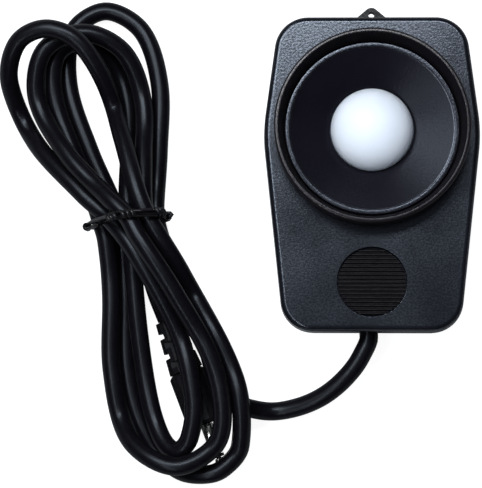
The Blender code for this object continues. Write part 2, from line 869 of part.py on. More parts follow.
def plug_cover(path):
    """The least height at each point that clears the plug lying below."""
    axis = np.array(plug_axis())
    start = np.array((plug_x, plug_y, 0))
    body = relief_length + plug_body_length
    total = body + jack_sleeve_length + jack_ring_length + jack_tip_length
    least = np.full(len(path), 0.0)
    for along in np.arange(0, total, mm):
        shaft = jack_radius if along > body else plug_body_radius
        taper = relief_large_radius - relief_small_radius
        if along < relief_length:
            shaft = relief_small_radius + taper * along / relief_length
        reach = shaft + cable_radius + plug_clearance
        off = np.linalg.norm(path - start - axis * along, axis=1)
        rise = plug_height + np.sqrt(np.maximum(reach**2 - off**2, 0))
        least = np.maximum(least, np.where(off < reach, rise, 0))
    return least


def waist_frame(points):
    """Distance along the tie's line, and across it, from the middle of the waist."""
    away = points[:, :2] - (waist_x, waist_y)
    along = away @ (cos(tie_tilt), sin(tie_tilt))
    across = away @ (-sin(tie_tilt), cos(tie_tilt))
    return along, across


def ease(share):
    share = np.clip(share, 0, 1)
    return share * share * (3 - 2 * share)


def cable_heights(path, layers):
    """Lay the cable down: it rests on the floor, the plug, the tie and its lower layers."""
    length = np.append(0, np.cumsum(np.linalg.norm(np.diff(path, axis=0), axis=1)))
    floor = np.full(len(path), lie_height)
    in_tie = (np.abs(waist_frame(path)[1]) < tie_zone) & (layers > 0)
    floor[in_tie] = tie_lift
    fall = 1 - ease((length - lead_level) / lead_fall)
    floor += (exit_height - lie_height) * fall
    climb = ease((length - length[-1] + 2 * strand_length) / strand_length)
    tail = np.where(layers == tail_layer, climb * (plug_height - lie_height), 0)
    last = length > length[-1] - 2 * strand_length
    floor = np.where(last, lie_height + tail, np.maximum(floor, plug_cover(path)))
    apart = np.linalg.norm(path[:, None] - path[None], axis=2)
    gone = np.abs(length[:, None] - length[None])
    over = (layers[:, None] > layers[None]) & (apart < lay_distance) & (gone > strand_length)
    rise = np.sqrt(np.maximum(lay_distance**2 - apart**2, 0))
    rise = np.where(over, rise, -1)
    hump = -(gone**2) / (2 * hump_radius)
    height = floor
    for _ in range(lay_rounds):
        rest = np.maximum(floor, (height[None] + rise).max(axis=1))
        height = (rest[None] + hump).max(axis=1)
    weight = np.exp(-(gone**2) / (2 * hump_blur**2))
    return weight @ height / weight.sum(axis=1)


def cable_route():
    path, layers = cable_plan()
    path[:, 2] = cable_heights(path, layers)
    return path


def thinned(path):
    """The points of a tube: closer together where the route turns."""
    steps = np.diff(path, axis=0)
    lengths = np.linalg.norm(steps, axis=1)
    heads = steps / lengths[:, None]
    turns = np.arccos(np.clip((heads[1:] * heads[:-1]).sum(axis=1), -1, 1))
    cost = lengths / length_step + np.append(0, turns) / turn_step
    spent = np.append(0, np.cumsum(cost))
    count = int(np.ceil(spent[-1])) + 1
    wanted = np.linspace(0, spent[-1], count)
    return np.column_stack([np.interp(wanted, spent, path[:, axis]) for axis in range(3)])


def squared_ends(points, path):
    """The tube's points with both ends run straight for one diameter."""
    straight = 2 * cable_radius
    head = (path[1] - path[0]) / np.linalg.norm(path[1] - path[0])
    foot = (path[-2] - path[-1]) / np.linalg.norm(path[-2] - path[-1])
    away_start = np.linalg.norm(points - path[0], axis=1)
    away_end = np.linalg.norm(points - path[-1], axis=1)
    clear = straight * (1 + straight_clear_share)
    middle = points[(away_start > clear) & (away_end > clear)]
    start, end = path[0], path[-1]
    return np.array([start, start + head * straight, *middle, end + foot * straight, end])


def least_gap(points):
    """The tube's least gap to itself, measured between points along its straight runs."""
    runs = np.diff(points, axis=0)
    counts = np.ceil(np.linalg.norm(runs, axis=1) / mm).astype(int)
    fine = np.vstack(
        [
            start + run * np.arange(count)[:, None] / count
            for start, run, count in zip(points, runs, counts)
        ]
    )
    length = np.append(0, np.cumsum(np.linalg.norm(np.diff(fine, axis=0), axis=1)))
    apart = np.linalg.norm(fine[:, None] - fine[None], axis=2)
    apart[np.abs(length[:, None] - length[None]) < strand_length] = 1
    return apart.min()


def split_route(route):
    """The lead, hank and tail: the route cut below the waist and near the plug."""
    across = np.abs(waist_frame(route)[1])
    first = np.flatnonzero(across < split_distance)[0]
    left = np.linalg.norm(route - route[-1], axis=1)
    last = np.flatnonzero(left > tail_length)[-1]
    pieces = []
    for start, end in ((0, first), (first, last), (last, len(route) - 1)):
        piece = route[start : end + 1].copy()
        if start:
            piece[0] += unit(piece[1] - piece[0]) * joint_gap / 2
        if end < len(route) - 1:
            piece[-1] += unit(piece[-2] - piece[-1]) * joint_gap / 2
        pieces.append(piece)
    return pieces


def unit(step):
    return step / np.linalg.norm(step)


def build_cable(jacket):
    route = cable_route()
    total = np.linalg.norm(np.diff(route, axis=0), axis=1).sum()
    for name, piece in zip(("cable_lead", "cable_hank", "cable_tail"), split_route(route)):
        points = squared_ends(thinned(piece), piece)
        looped = name == "cable_hank"
        tube(name, points.tolist(), cable_radius, jacket, 1 if looped else 2)
        if looped:
            gap = least_gap(points) - 2 * cable_radius
            print(f"hank: {len(points)} points, least gap to itself {gap / mm:.2f} mm")
    print(f"cable: {total / mm:.0f} mm from the case to the plug")
    return route


def tie_round(route):
    """Points round the bundle in the tie's plane, from its right side over the top."""
    along, across = waist_frame(route)
    near = np.abs(across) < tie_zone
    section = np.column_stack([along[near], route[near, 2]])
    angles = np.linspace(0, 2 * pi, 8 * tie_points)
    normals = np.column_stack([np.cos(angles), np.sin(angles)])
    touch = section[(section @ normals.T).argmax(axis=0)]
    return touch + normals * tie_standoff, normals


def even(points, count):
    length = np.append(0, np.cumsum(np.linalg.norm(np.diff(points, axis=0), axis=1)))
    wanted = np.linspace(0, length[-1], count)
    return np.column_stack(
        [np.interp(wanted, length, points[:, axis]) for axis in range(points.shape[1])]
    )


def tie_place(along, across, height):
    x = waist_x + along * cos(tie_tilt) - across * sin(tie_tilt)
    y = waist_y + along * sin(tie_tilt) + across * cos(tie_tilt)
    return (x, y, height)


def build_tie(route, wire):
    """One wire: twisted over the top, once round beneath, and over the top again."""
    ring_points, normals = tie_round(route)
    half = len(ring_points) // 2
    top = even(np.column_stack([ring_points[:half], normals[:half]]), tie_points)
    under = even(np.column_stack([ring_points[half:], normals[half:]]), tie_points)
    points = []
    for strand in (0, 1):
        for step, (along, height, out_x, out_z) in enumerate(top):
            turn = 2 * pi * tie_turns * step / (len(top) - 1) + pi * strand
            lift = tie_twist_radius * (1 + cos(turn))
            across = tie_twist_radius * sin(turn)
            points.append(tie_place(along + out_x * lift, across, height + out_z * lift))
        if strand == 0:
            points += [tie_place(along, 0, height) for along, height, _, _ in under[1:-1]]
    tube("twist_tie", points, tie_radius, wire, 1)


def on_plug(piece, along):
    axis = plug_axis() * along
    turn = (-pi / 2, 0, pi + plug_heading)
    return place(piece, plug_x + axis.x, plug_y + axis.y, plug_height, turn)


def build_plug(rubber, steel, insulation):
    taper = (relief_large_radius - relief_small_radius) / relief_length
    profile = (
        (0, 0),
        (relief_small_radius, 0),
        (relief_large_radius, relief_length),
        (0, relief_length),
    )
    relief = on_plug(turned("plug_strain_relief", profile, rubber, sides=small_sides), 0)
    slots = []
    for number in range(relief_slots):
        along = relief_slot_pitch * (number + 1)
        middle = relief_small_radius + taper * along
        for side in (-1, 1):
            slot = box(
                f"cut_relief_{number}_{side}", relief_slot_depth * 2, middle * 2, relief_slot_width
            )
            off = side * (middle + taper * relief_slot_width)
            slot.parent = relief
            quarter = number % 2
            slot.location = (0, off, along) if quarter else (off, 0, along)
            slot.rotation_euler = (0, 0, pi / 2 * quarter)
            slots.append(slot)
    cut(relief, *slots)
    body_start = relief_length + joint_gap
    body = (
        (0, 0),
        (plug_body_radius - plug_edge, 0),
        (plug_body_radius, plug_edge),
        (plug_body_radius, plug_body_length - plug_edge),
        (plug_body_radius - plug_edge, plug_body_length),
        (0, plug_body_length),
    )
    on_plug(turned("plug_body", body, rubber, sides=plug_sides), body_start)
    jack_start = body_start + plug_body_length + joint_gap
    bore = jack_core_radius + joint_gap
    sleeve = (
        (jack_radius, 0),
        (jack_radius, jack_sleeve_length),
        (bore, jack_sleeve_length),
        (bore, 0),
    )
    on_plug(turned("plug_sleeve", sleeve, steel, sides=small_sides), jack_start)
    ring_start = jack_sleeve_length + joint_gap
    ring_end = ring_start + jack_ring_length
    core_end = ring_end + joint_gap + jack_tip_length / 2
    core = (
        (0, joint_gap),
        (jack_core_radius, joint_gap),
        (jack_core_radius, ring_start),
        (jack_radius, ring_start),
        (jack_radius, ring_end),
        (jack_core_radius, ring_end),
        (jack_core_radius, core_end - joint_gap),
        (0, core_end - joint_gap),
    )
    on_plug(turned("plug_insulator", core, insulation, sides=small_sides), jack_start)
    tip_end = jack_tip_length
    tip = (
        (bore, 0),
        (jack_radius * tip_neck_share, 0),
        (jack_radius, tip_end * tip_swell_share),
        (jack_radius / 2, tip_end),
        (0, tip_end),
        (0, tip_end / 2),
        (bore, tip_end / 2),
    )
    tip_start = jack_start + ring_end + joint_gap
    on_plug(turned("plug_tip", tip, steel, sides=small_sides), tip_start)


def build_entry(jacket, copper, cores):
    start = grommet_face_y - joint_gap
    path = [(exit_x, start + entry_length * step / 2, exit_height) for step in range(3)]
    tube("cable_entry", path, cable_radius, jacket)
    first = start + entry_length + joint_gap
    for name, across, up, end_x in cores:
        pad = board_top + joint_gap
        level = exit_height + up
        route = [
            (exit_x + across, first, level),
            (exit_x + across, first + entry_length / 3, level),
            (end_x, wire_end_y - entry_length / 2, level + wire_radius),
            (end_x, wire_end_y - wire_bend, level + wire_radius),
            (end_x, wire_end_y, pad),
        ]
        tube(name, rounded_path(route, wire_steps)[0], wire_radius, copper)


def main():
    clear_scene()
    plastic = make_material("Case plastic", case_colour, 0.45)
    build_front_shell(plastic)
    build_rear_shell(make_material("Rear plastic", rear_colour, 0.5))
    build_collar(make_material("Collar plastic", collar_colour, 0.4))
    build_dish(make_material("Dish plastic", dish_colour, 0.75))
    build_dome(make_material("Opal diffuser", dome_colour, 0.2))
    rubber = make_material("Black rubber", rubber_colour, 0.6)
    inner = make_material("Inner plastic", inner_colour, 0.5)
    glass = make_material("Green filter glass", filter_colour, 0.1)
    steel = make_material("Zinc-plated steel", steel_colour, 0.35, 1.0)
    laminate = make_material("Board laminate", board_colour, 0.5)
    build_sensor_stack(rubber, inner, glass, steel, laminate)
    build_screws(steel)
    build_grip(make_material("Grip plastic", rubber_colour, 0.35))
    build_cable_fixings(rubber, inner)
    jacket = make_material("Cable jacket", jacket_colour, 0.4)
    insulation = make_material("Wire insulation", wire_colour, 0.4)
    build_entry(jacket, insulation, wire_cores)
    route = build_cable(jacket)
    build_tie(route, make_material("Tie coating", rubber_colour, 0.5))
    build_plug(rubber, steel, insulation)


main()
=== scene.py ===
"""The looks of a lux meter's sensor head with its tied cable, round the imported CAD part.

Metres, +Z up out of the dome and +Y towards the lanyard eye. For Blender 4.5.
"""

import json
from math import cos, pi, radians, sin, tan

import bmesh
import bpy
import numpy as np
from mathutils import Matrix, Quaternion, Vector

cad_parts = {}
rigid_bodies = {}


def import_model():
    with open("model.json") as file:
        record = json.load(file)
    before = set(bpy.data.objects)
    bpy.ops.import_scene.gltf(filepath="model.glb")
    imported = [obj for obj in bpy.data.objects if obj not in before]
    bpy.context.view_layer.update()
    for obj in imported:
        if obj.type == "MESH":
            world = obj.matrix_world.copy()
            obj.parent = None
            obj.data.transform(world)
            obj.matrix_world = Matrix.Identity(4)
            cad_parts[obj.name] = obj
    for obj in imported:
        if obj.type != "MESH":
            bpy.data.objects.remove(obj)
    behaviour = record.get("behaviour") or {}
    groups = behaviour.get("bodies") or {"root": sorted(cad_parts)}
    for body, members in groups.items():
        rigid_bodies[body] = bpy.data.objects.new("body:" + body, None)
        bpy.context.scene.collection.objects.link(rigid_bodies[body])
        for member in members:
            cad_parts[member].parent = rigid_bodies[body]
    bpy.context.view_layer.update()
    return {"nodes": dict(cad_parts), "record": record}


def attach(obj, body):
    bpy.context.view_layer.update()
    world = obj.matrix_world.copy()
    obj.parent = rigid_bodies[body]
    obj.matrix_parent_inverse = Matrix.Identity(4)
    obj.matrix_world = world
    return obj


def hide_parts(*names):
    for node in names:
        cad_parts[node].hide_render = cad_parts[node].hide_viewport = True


mm = 0.001

# The camera, found from the photograph
photo_width = 482
camera_place = (-12.7 * mm, -97.7 * mm, 700 * mm)
camera_turn = (radians(6.37), radians(1.94), radians(0.29))
camera_focal_pixels = 2481.7
sensor_width = 36.0

# The light from round about: pale overhead, dark near the horizon
sky_colour = (0.8, 0.87, 1.0)
horizon_strength = 0.03
overhead_strength = 0.2
overhead_power = 6.0

# The lamps: name, place, the point faced, width, depth, radiance and roll
lamp_colour = (0.88, 0.94, 1.0)
lamps = (
    ("Top light", (-0.06, 0.295, 0.82), (-0.02, 0.0, 0.02), 0.46, 0.17, 17.0, radians(13)),
    ("Side light", (-0.43, 0.24, 0.8), (-0.02, 0.24, 0.02), 0.38, 0.2, 7.4, 0.0),
    ("Long light", (-0.33, -0.1, 0.82), (-0.02, -0.1, 0.02), 1.9, 0.08, 9.5, 0.0),
)

# The floor, which reflections see shaded close to the object and bright further off
floor_reach = 2.0
floor_drop = 0.02 * mm
floor_tone = 0.3
floor_glow = 0.93
shaded_reach = 50 * mm
open_reach = 400 * mm

# Shared by several pieces
joint_gap = 0.3 * mm
circle_sides = 160
arc_steps = 6
sharp_angle = radians(35)

# The case: its plan and heights as in the CAD part, its edges softer
case_length = 88.0 * mm
shoulder_width = 60.7 * mm
top_width = 52.0 * mm
bottom_width = 48.8 * mm
eye_reach = 4.0 * mm
shoulder_y = 9.5 * mm
top_corner_radius = 9.5 * mm
bottom_corner_radius = 9.0 * mm
shoulder_radius = 45.0 * mm
corner_steps = 14
face_height = 20.5 * mm
parting_height = 14.5 * mm
wall = 2.0 * mm
face_edge_radius = 1.6 * mm
face_edge_steps = 8
skirt_draft = radians(2.0)
mouth_edge = 0.35 * mm
mouth_edge_segments = 4
mouth_edge_angle = radians(60)
case_top = case_length / 2 - eye_reach / 2
case_bottom = -case_length / 2 - eye_reach / 2

# The sensor stack
dome_y = 10.1 * mm
collar_height = 8.5 * mm
collar_radius = 27.0 * mm
collar_rim = 1.1 * mm
collar_outer_round = 0.65 * mm
collar_inner_round = 0.12 * mm
collar_foot_round = 0.15 * mm
spigot_radius = 25.2 * mm
spigot_wall = 3 * mm
dish_radius = 24.1 * mm
dish_rim = 1.35 * mm
dish_bead_round = 0.3 * mm
dish_bead_depth = 0.5 * mm
dish_rim_rise = 2.3 * mm
dish_floor_drop = 1.1 * mm
dish_wall = 1.4 * mm
dish_step = 0.4 * mm
dish_step_round = 0.1 * mm
dish_step_depth = 0.2 * mm
dome_radius = 11.4 * mm
dome_drop = 0.7 * mm
dome_rise = 8.2 * mm
dome_steps = 40
dome_flange = 2.4 * mm
dome_flange_depth = 1.5 * mm
rim_height = face_height + collar_height
dish_rim_height = face_height + dish_rim_rise
dish_floor_height = face_height - dish_floor_drop

# The thumb grip
grip_y = -32.3 * mm
grip_radius = 9.35 * mm
grip_recess = 0.7 * mm
grip_ribs = 17
grip_rib_pitch = 1.08 * mm
grip_rib_depth = 0.45 * mm
grip_rib_slope = 4
grip_groove_share = 0.4
grip_columns = 72
grip_rows_per_rib = 12
grip_sharp_angle = radians(60)

# The cable's route, repeated from the CAD part
cable_radius = 2.6 * mm
exit_x = -0.8 * mm
exit_height = 10.0 * mm
cable_start_y = -45.5 * mm
lead_places = (
    (exit_x, cable_start_y),
    (-0.8 * mm, -47.6 * mm),
    (-1.8 * mm, -50.0 * mm),
    (-4.3 * mm, -54.5 * mm),
    (-8.3 * mm, -59.1 * mm),
    (-12.7 * mm, -62.6 * mm),
    (-17.1 * mm, -64.9 * mm),
    (-21.8 * mm, -66.4 * mm),
    (-26.8 * mm, -67.2 * mm),
    (-31.3 * mm, -67.0 * mm),
    (-37.0 * mm, -65.5 * mm),
    (-41.2 * mm, -62.0 * mm),
    (-43.9 * mm, -56.2 * mm),
    (-46.0 * mm, -48.8 * mm),
    (-49.2 * mm, -40.1 * mm),
    (-53.6 * mm, -31.9 * mm),
    (-57.6 * mm, -23.4 * mm),
)
tail_places = ((-62.9 * mm, -20.5 * mm), (-62.0 * mm, -27.5 * mm), (-60.1 * mm, -34.5 * mm))
lead_fall = 36.0 * mm
lead_level = 5.0 * mm
waist_x = -67.5 * mm
waist_y = -14.3 * mm
waist_slots = [each * mm for each in (7.0, -3.4, 5.5, -5.4, -0.1, -8.5, -0.1, 4.8)]
lobe_stations = 10
# Reach, half width, pinch, lean, bend, skew, starting side, direction, and the layer at
# each tenth of the way round: a strand lies on every lower layer that it crosses
lobes = (
    (61.4 * mm, 15.3 * mm, 0.87, radians(-13), 4.1 * mm, 0.0, 1, 1, "1111111222"),
    (70.8 * mm, 17.5 * mm, 0.8, radians(20), -6.8 * mm, 0.6, -1, -1, "2222266666"),
    (53.0 * mm, 14.5 * mm, 0.65, radians(-39), 19.2 * mm, 0.2, 1, 1, "6669999777"),
    (64.4 * mm, 10.6 * mm, 0.44, radians(23.5), -11.8 * mm, 0.3, 1, -1, "7777773333"),
    (51.5 * mm, 12.2 * mm, 1.05, radians(-13.8), 1.9 * mm, 0.1, 1, 1, "3333333444"),
    (68.7 * mm, 20.2 * mm, 0.96, radians(23.8), -12.4 * mm, -0.1, -1, -1, "4448888888"),
    (52.9 * mm, 19.0 * mm, 0.7, radians(-32.3), 17.7 * mm, 0.0, -1, 1, "8888855555"),
)
tail_layer = 5
lie_clearance = 0.05 * mm
lay_clearance = 0.75 * mm
lie_height = cable_radius + lie_clearance
lay_distance = 2 * cable_radius + lay_clearance
hump_radius = 18.0 * mm
hump_blur = 2.5 * mm
route_samples = 560
lay_rounds = 30
strand_length = 15.08 * mm

# The tie
tie_wire_radius = 0.6 * mm
tie_tilt = radians(7.4)
tie_zone = 1.7 * mm
tie_solid_width = 1.3 * mm
tie_clearance = 0.8 * mm
tie_lift = cable_radius + tie_solid_width + tie_clearance
tie_gap = 0.15 * mm
tie_standoff = cable_radius + tie_gap + tie_wire_radius
tie_directions = 400
tie_twist_radius = 0.75 * mm
tie_turns = 5.5
tie_points = 120
tie_taper_share = 0.06
tie_bevel_resolution = 4
tie_leaf_point = 4
# The flattened end: out from the hank's edge and to the side, in millimetres
tie_leaf = ((-0.4, 0.0), (0.3, 0.55), (1.1, 0.45), (1.5, 0.0), (0.9, -0.5), (0.0, -0.6))

# The plug
plug_x = -57.2 * mm
plug_y = -42.0 * mm
plug_heading = radians(21)
plug_height = 5.35 * mm
relief_length = 15.0 * mm
relief_small_radius = 3.5 * mm
relief_large_radius = 4.8 * mm
plug_body_radius = 5.25 * mm
plug_body_length = 15.5 * mm
jack_radius = 1.75 * mm
jack_length = 13.4 * mm
plug_clearance = 0.6 * mm

# Moulded plastics: colour, roughness, scale and depth of the grain, gleam and tint
no_tint = (1, 1, 1)
cool_tint = (0.8, 0.87, 1.0)
warm_tint = (1.0, 0.96, 0.94)
plastics = {
    "case_black": ((0.0055, 0.006, 0.0082), 0.2, 1800.0, 0.022 * mm, 0.45, cool_tint),
    "rear_black": ((0.006, 0.0062, 0.005), 0.5, 1800.0, 0.03 * mm, 0.2, no_tint),
    "collar_black": ((0.0055, 0.0044, 0.0065), 0.26, 2500.0, 0.005 * mm, 0.32, warm_tint),
    "dish_black": ((0.0048, 0.004, 0.0068), 0.2, 1800.0, 0.032 * mm, 0.46, cool_tint),
    "grip_black": ((0.0035, 0.0028, 0.0038), 0.42, 2500.0, 0.005 * mm, 0.09, no_tint),
    "inner_black": ((0.02, 0.02, 0.022), 0.45, 1500.0, 0.02 * mm, 0.5, no_tint),
}
tone_variation = 0.2
gleam_variation = 0.35
wear_scale = 60.0

# Where a plastic is matt: up to the first measure, fading out at the second, with the
# matt part's roughness and gleam
collar_dulled = (rim_height - 0.5 * mm, rim_height - 0.2 * mm, 0.6, 0.15)
dish_dulled = (dish_radius - 1.7 * mm, dish_radius - 1.4 * mm, 0.24, 0.085)


def set_up_camera():
    camera = bpy.data.cameras.new("Camera")
    camera.sensor_fit = "HORIZONTAL"
    camera.sensor_width = sensor_width
    camera.lens = camera_focal_pixels / photo_width * sensor_width
    camera.clip_start = 10 * mm
    placed = bpy.data.objects.new("Camera", camera)
    placed.location = camera_place
    placed.rotation_euler = camera_turn
    bpy.context.scene.collection.objects.link(placed)
    bpy.context.scene.camera = placed


def rounded_path(points, count):
    """Even points on a smooth curve through the given points, and their spans."""
    places = [Vector(each) for each in points]
    lengths = [0.0]
    for before, after in zip(places, places[1:]):
        lengths.append(lengths[-1] + (after - before).length)
    tangents = []
    for index in range(len(places)):
        low, high = max(index - 1, 0), min(index + 1, len(places) - 1)
        tangents.append((places[high] - places[low]) / (lengths[high] - lengths[low]))
    path, spans = [], []
    for step in range(count):
        along = lengths[-1] * step / (count - 1)
        index = min(sum(each <= along for each in lengths), len(places) - 1) - 1
        span = lengths[index + 1] - lengths[index]
        t = (along - lengths[index]) / span
        a, b = places[index], places[index + 1]
        ta, tb = tangents[index] * span, tangents[index + 1] * span
        square, cube = t * t, t * t * t
        path.append(
            a * (2 * cube - 3 * square + 1)
            + ta * (cube - 2 * square + t)
            + b * (3 * square - 2 * cube)
            + tb * (cube - square)
        )
        spans.append(index)
    return path, spans


def lobe_places(lobe, start, end):
    """Plan of the cable at each tenth of one lobe, from its start in the waist."""
    reach, half_width, pinch, lean, bend, skew, side, up, _ = lobe
    places = [(waist_x + start, waist_y)]
    for station in range(1, lobe_stations):
        share = station / lobe_stations
        turn = 2 * pi * share
        turn += skew * sin(turn)
        out = (1 - cos(turn)) / 2
        across = start + (end - start) * ease(share)
        across += side * half_width * sin(turn) * out**pinch
        across += tan(lean) * reach * out + bend * out * out
        places.append((waist_x + across, waist_y + up * reach * out))
    return places


def cable_plan():
    """The whole cable from above, as smooth even points with the layer of each."""
    places, layers = list(lead_places), [0] * len(lead_places)
    for lobe, start, end in zip(lobes, waist_slots, waist_slots[1:]):
        places += lobe_places(lobe, start, end)
        layers += [int(each) for each in lobe[-1]]
    along = plug_axis() * joint_gap
    last = (plug_x - along.x, plug_y - along.y)
    places += [(waist_x + waist_slots[-1], waist_y), *tail_places, last]
    layers += [tail_layer] * (len(places) - len(layers))
    path, index = rounded_path([(x, y, 0) for x, y in places], route_samples)
    return np.array(path), np.array(layers)[index]


def plug_axis():
    """The way that the plug points."""
    return Vector((sin(plug_heading), -cos(plug_heading), 0))


def plug_cover(path):
    """The least height at each point that clears the plug lying below."""
    axis = np.array(plug_axis())
    start = np.array((plug_x, plug_y, 0))
    body = relief_length + plug_body_length
    least = np.full(len(path), 0.0)
    for along in np.arange(0, body + jack_length, mm):
        shaft = jack_radius if along > body else plug_body_radius
        taper = relief_large_radius - relief_small_radius
        if along < relief_length:
            shaft = relief_small_radius + taper * along / relief_length
        reach = shaft + cable_radius + plug_clearance
        off = np.linalg.norm(path - start - axis * along, axis=1)
        rise = plug_height + np.sqrt(np.maximum(reach**2 - off**2, 0))
        least = np.maximum(least, np.where(off < reach, rise, 0))
    return least


def waist_frame(points):
    """Distance along the tie's line, and across it, from the middle of the waist."""
    away = points[:, :2] - (waist_x, waist_y)
    along = away @ (cos(tie_tilt), sin(tie_tilt))
    across = away @ (-sin(tie_tilt), cos(tie_tilt))
    return along, across


def ease(share):
    """From 0 to 1 with a soft start and end."""
    share = np.clip(share, 0, 1)
    return share * share * (3 - 2 * share)


def cable_heights(path, layers):
    """Lay the cable down: it rests on the floor, the plug, the tie and its lower layers."""
    length = np.append(0, np.cumsum(np.linalg.norm(np.diff(path, axis=0), axis=1)))
    floor = np.full(len(path), lie_height)
    in_tie = (np.abs(waist_frame(path)[1]) < tie_zone) & (layers > 0)
    floor[in_tie] = tie_lift
    fall = 1 - ease((length - lead_level) / lead_fall)
    floor += (exit_height - lie_height) * fall
    climb = ease((length - length[-1] + 2 * strand_length) / strand_length)
    tail = np.where(layers == tail_layer, climb * (plug_height - lie_height), 0)
    last = length > length[-1] - 2 * strand_length
    floor = np.where(last, lie_height + tail, np.maximum(floor, plug_cover(path)))
    apart = np.linalg.norm(path[:, None] - path[None], axis=2)
    gone = np.abs(length[:, None] - length[None])
    over = (layers[:, None] > layers[None]) & (apart < lay_distance) & (gone > strand_length)
    rise = np.sqrt(np.maximum(lay_distance**2 - apart**2, 0))
    rise = np.where(over, rise, -1)
    hump = -(gone**2) / (2 * hump_radius)
    height = floor
    for _ in range(lay_rounds):
        rest = np.maximum(floor, (height[None] + rise).max(axis=1))
        height = (rest[None] + hump).max(axis=1)
    weight = np.exp(-(gone**2) / (2 * hump_blur**2))
    return weight @ height / weight.sum(axis=1)


def cable_route():
    path, layers = cable_plan()
    path[:, 2] = cable_heights(path, layers)
    return path


def add_object(name, data, material):
    made = bpy.data.objects.new(name, data)
    bpy.context.scene.collection.objects.link(made)
    data.materials.append(material)
    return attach(made, "root")


def tube(name, route, radius, material, resolution=8):
    curve = bpy.data.curves.new(name, "CURVE")
    curve.dimensions = "3D"
    curve.bevel_depth = radius
    curve.bevel_resolution = resolution
    curve.use_fill_caps = True
    spline = curve.splines.new("POLY")
    spline.points.add(len(route) - 1)
    for point, spot in zip(spline.points, route):
        point.co = (*spot, 1)
    spline.use_smooth = True
    return add_object(name, curve, material)


# Materials


class Nodes:
    """A short way to write a material's node tree."""

    def __init__(self, name):
        self.material = bpy.data.materials.new(name)
        self.material.use_nodes = True
        self.tree = self.material.node_tree
        self.shader = self.tree.nodes["Principled BSDF"]

    def add(self, kind, **values):
        made = self.tree.nodes.new(kind)
        for key, value in values.items():
            if key in made.inputs:
                made.inputs[key].default_value = value
            else:
                setattr(made, key, value)
        return made

    def link(self, start, end):
        self.tree.links.new(start, end)

    def drive(self, socket, value):
        """Let a node's output set one of the shader's sockets."""
        self.link(value, self.shader.inputs[socket])

    def set(self, **values):
        for key, value in values.items():
            self.shader.inputs[key.replace("_", " ")].default_value = value

    def noise(self, scale, detail):
        place = self.add("ShaderNodeTexCoord").outputs["Object"]
        made = self.add("ShaderNodeTexNoise", Scale=scale, Detail=detail)
        self.link(place, made.inputs["Vector"])
        return made.outputs["Fac"]

    def between(self, value, low, high, start=0.3, end=0.7):
        """The value, with the range from start to end spread from low to high."""
        made = self.add("ShaderNodeMapRange")
        ends = {"From Min": start, "From Max": end, "To Min": low, "To Max": high}
        for key, number in ends.items():
            made.inputs[key].default_value = number
        self.link(value, made.inputs["Value"])
        return made.outputs["Result"]

    def blend(self, factor, first, second):
        made = self.add("ShaderNodeMix", data_type="RGBA")
        self.link(factor, made.inputs["Factor"])
        colours = {"A": (*first, 1), "B": (*second, 1)}
        for each in made.inputs:
            if each.type == "RGBA":
                each.default_value = colours[each.name]
        return next(each for each in made.outputs if each.type == "RGBA")

    def maths(self, operation, first, second):
        made = self.add("ShaderNodeMath", operation=operation)
        self.link(first, made.inputs[0])
        self.link(second, made.inputs[1])
        return made.outputs[0]

    def bump(self, height, strength, distance):
        made = self.add("ShaderNodeBump", Strength=strength, Distance=distance)
        self.link(height, made.inputs["Height"])
        return made.outputs["Normal"]

    def colour(self, value, first, second):
        """The base colour, between two as the value goes."""
        self.drive("Base Color", self.blend(self.between(value, 0, 1), first, second))

    def gloss(self, value, low, high):
        """The roughness, between two as the value goes."""
        self.drive("Roughness", self.between(value, low, high))

    def finish(self, normal=None):
        if normal:
            self.drive("Normal", normal)
        return self.material


def shaded(colour, factor):
    return tuple(channel * factor for channel in colour)


def moulded_plastic(name, colour, roughness, grain_scale, grain_depth, gleam, tint):
    """Spark-textured plastic: an even grain, slight wear in tone and gloss."""
    nodes = Nodes(name)
    wear = nodes.noise(wear_scale, detail=4.0)
    dark, light = shaded(colour, 1 - tone_variation), shaded(colour, 1 + tone_variation)
    nodes.colour(wear, dark, light)
    nodes.gloss(wear, roughness - 0.03, roughness + 0.04)
    nodes.set(Specular_Tint=(*tint, 1))
    grain = nodes.noise(grain_scale, detail=2.0)
    weak, strong = gleam * (1 - gleam_variation), gleam * (1 + gleam_variation)
    sparkle = nodes.between(grain, weak, strong, start=0.4, end=0.6)
    nodes.drive("Specular IOR Level", sparkle)
    return nodes.finish(nodes.bump(grain, 1.0, grain_depth))


def dulled(material, measured, low, high, roughness, gleam):
    """Make a plastic matt where its height, or its distance from the axis, is low."""
    tree = material.node_tree
    shader = tree.nodes["Principled BSDF"]
    where = tree.nodes.new("ShaderNodeTexCoord")
    measure = tree.nodes.new("ShaderNodeVectorMath")
    measure.operation = "DOT_PRODUCT" if measured == "height" else "LENGTH"
    if measured == "height":
        measure.inputs[1].default_value = (0, 0, 1)
        tree.links.new(where.outputs["Object"], measure.inputs[0])
    else:
        flat = tree.nodes.new("ShaderNodeVectorMath")
        flat.operation = "MULTIPLY"
        flat.inputs[1].default_value = (1, 1, 0)
        tree.links.new(where.outputs["Object"], flat.inputs[0])
        tree.links.new(flat.outputs["Vector"], measure.inputs[0])
    for socket, dull in (("Roughness", roughness), ("Specular IOR Level", gleam)):
        mix = tree.nodes.new("ShaderNodeMapRange")
        mix.inputs["From Min"].default_value = low
        mix.inputs["From Max"].default_value = high
        mix.inputs["To Min"].default_value = dull
        tree.links.new(shader.inputs[socket].links[0].from_socket, mix.inputs["To Max"])
        tree.links.new(measure.outputs["Value"], mix.inputs["Value"])
        tree.links.new(mix.outputs["Result"], shader.inputs[socket])


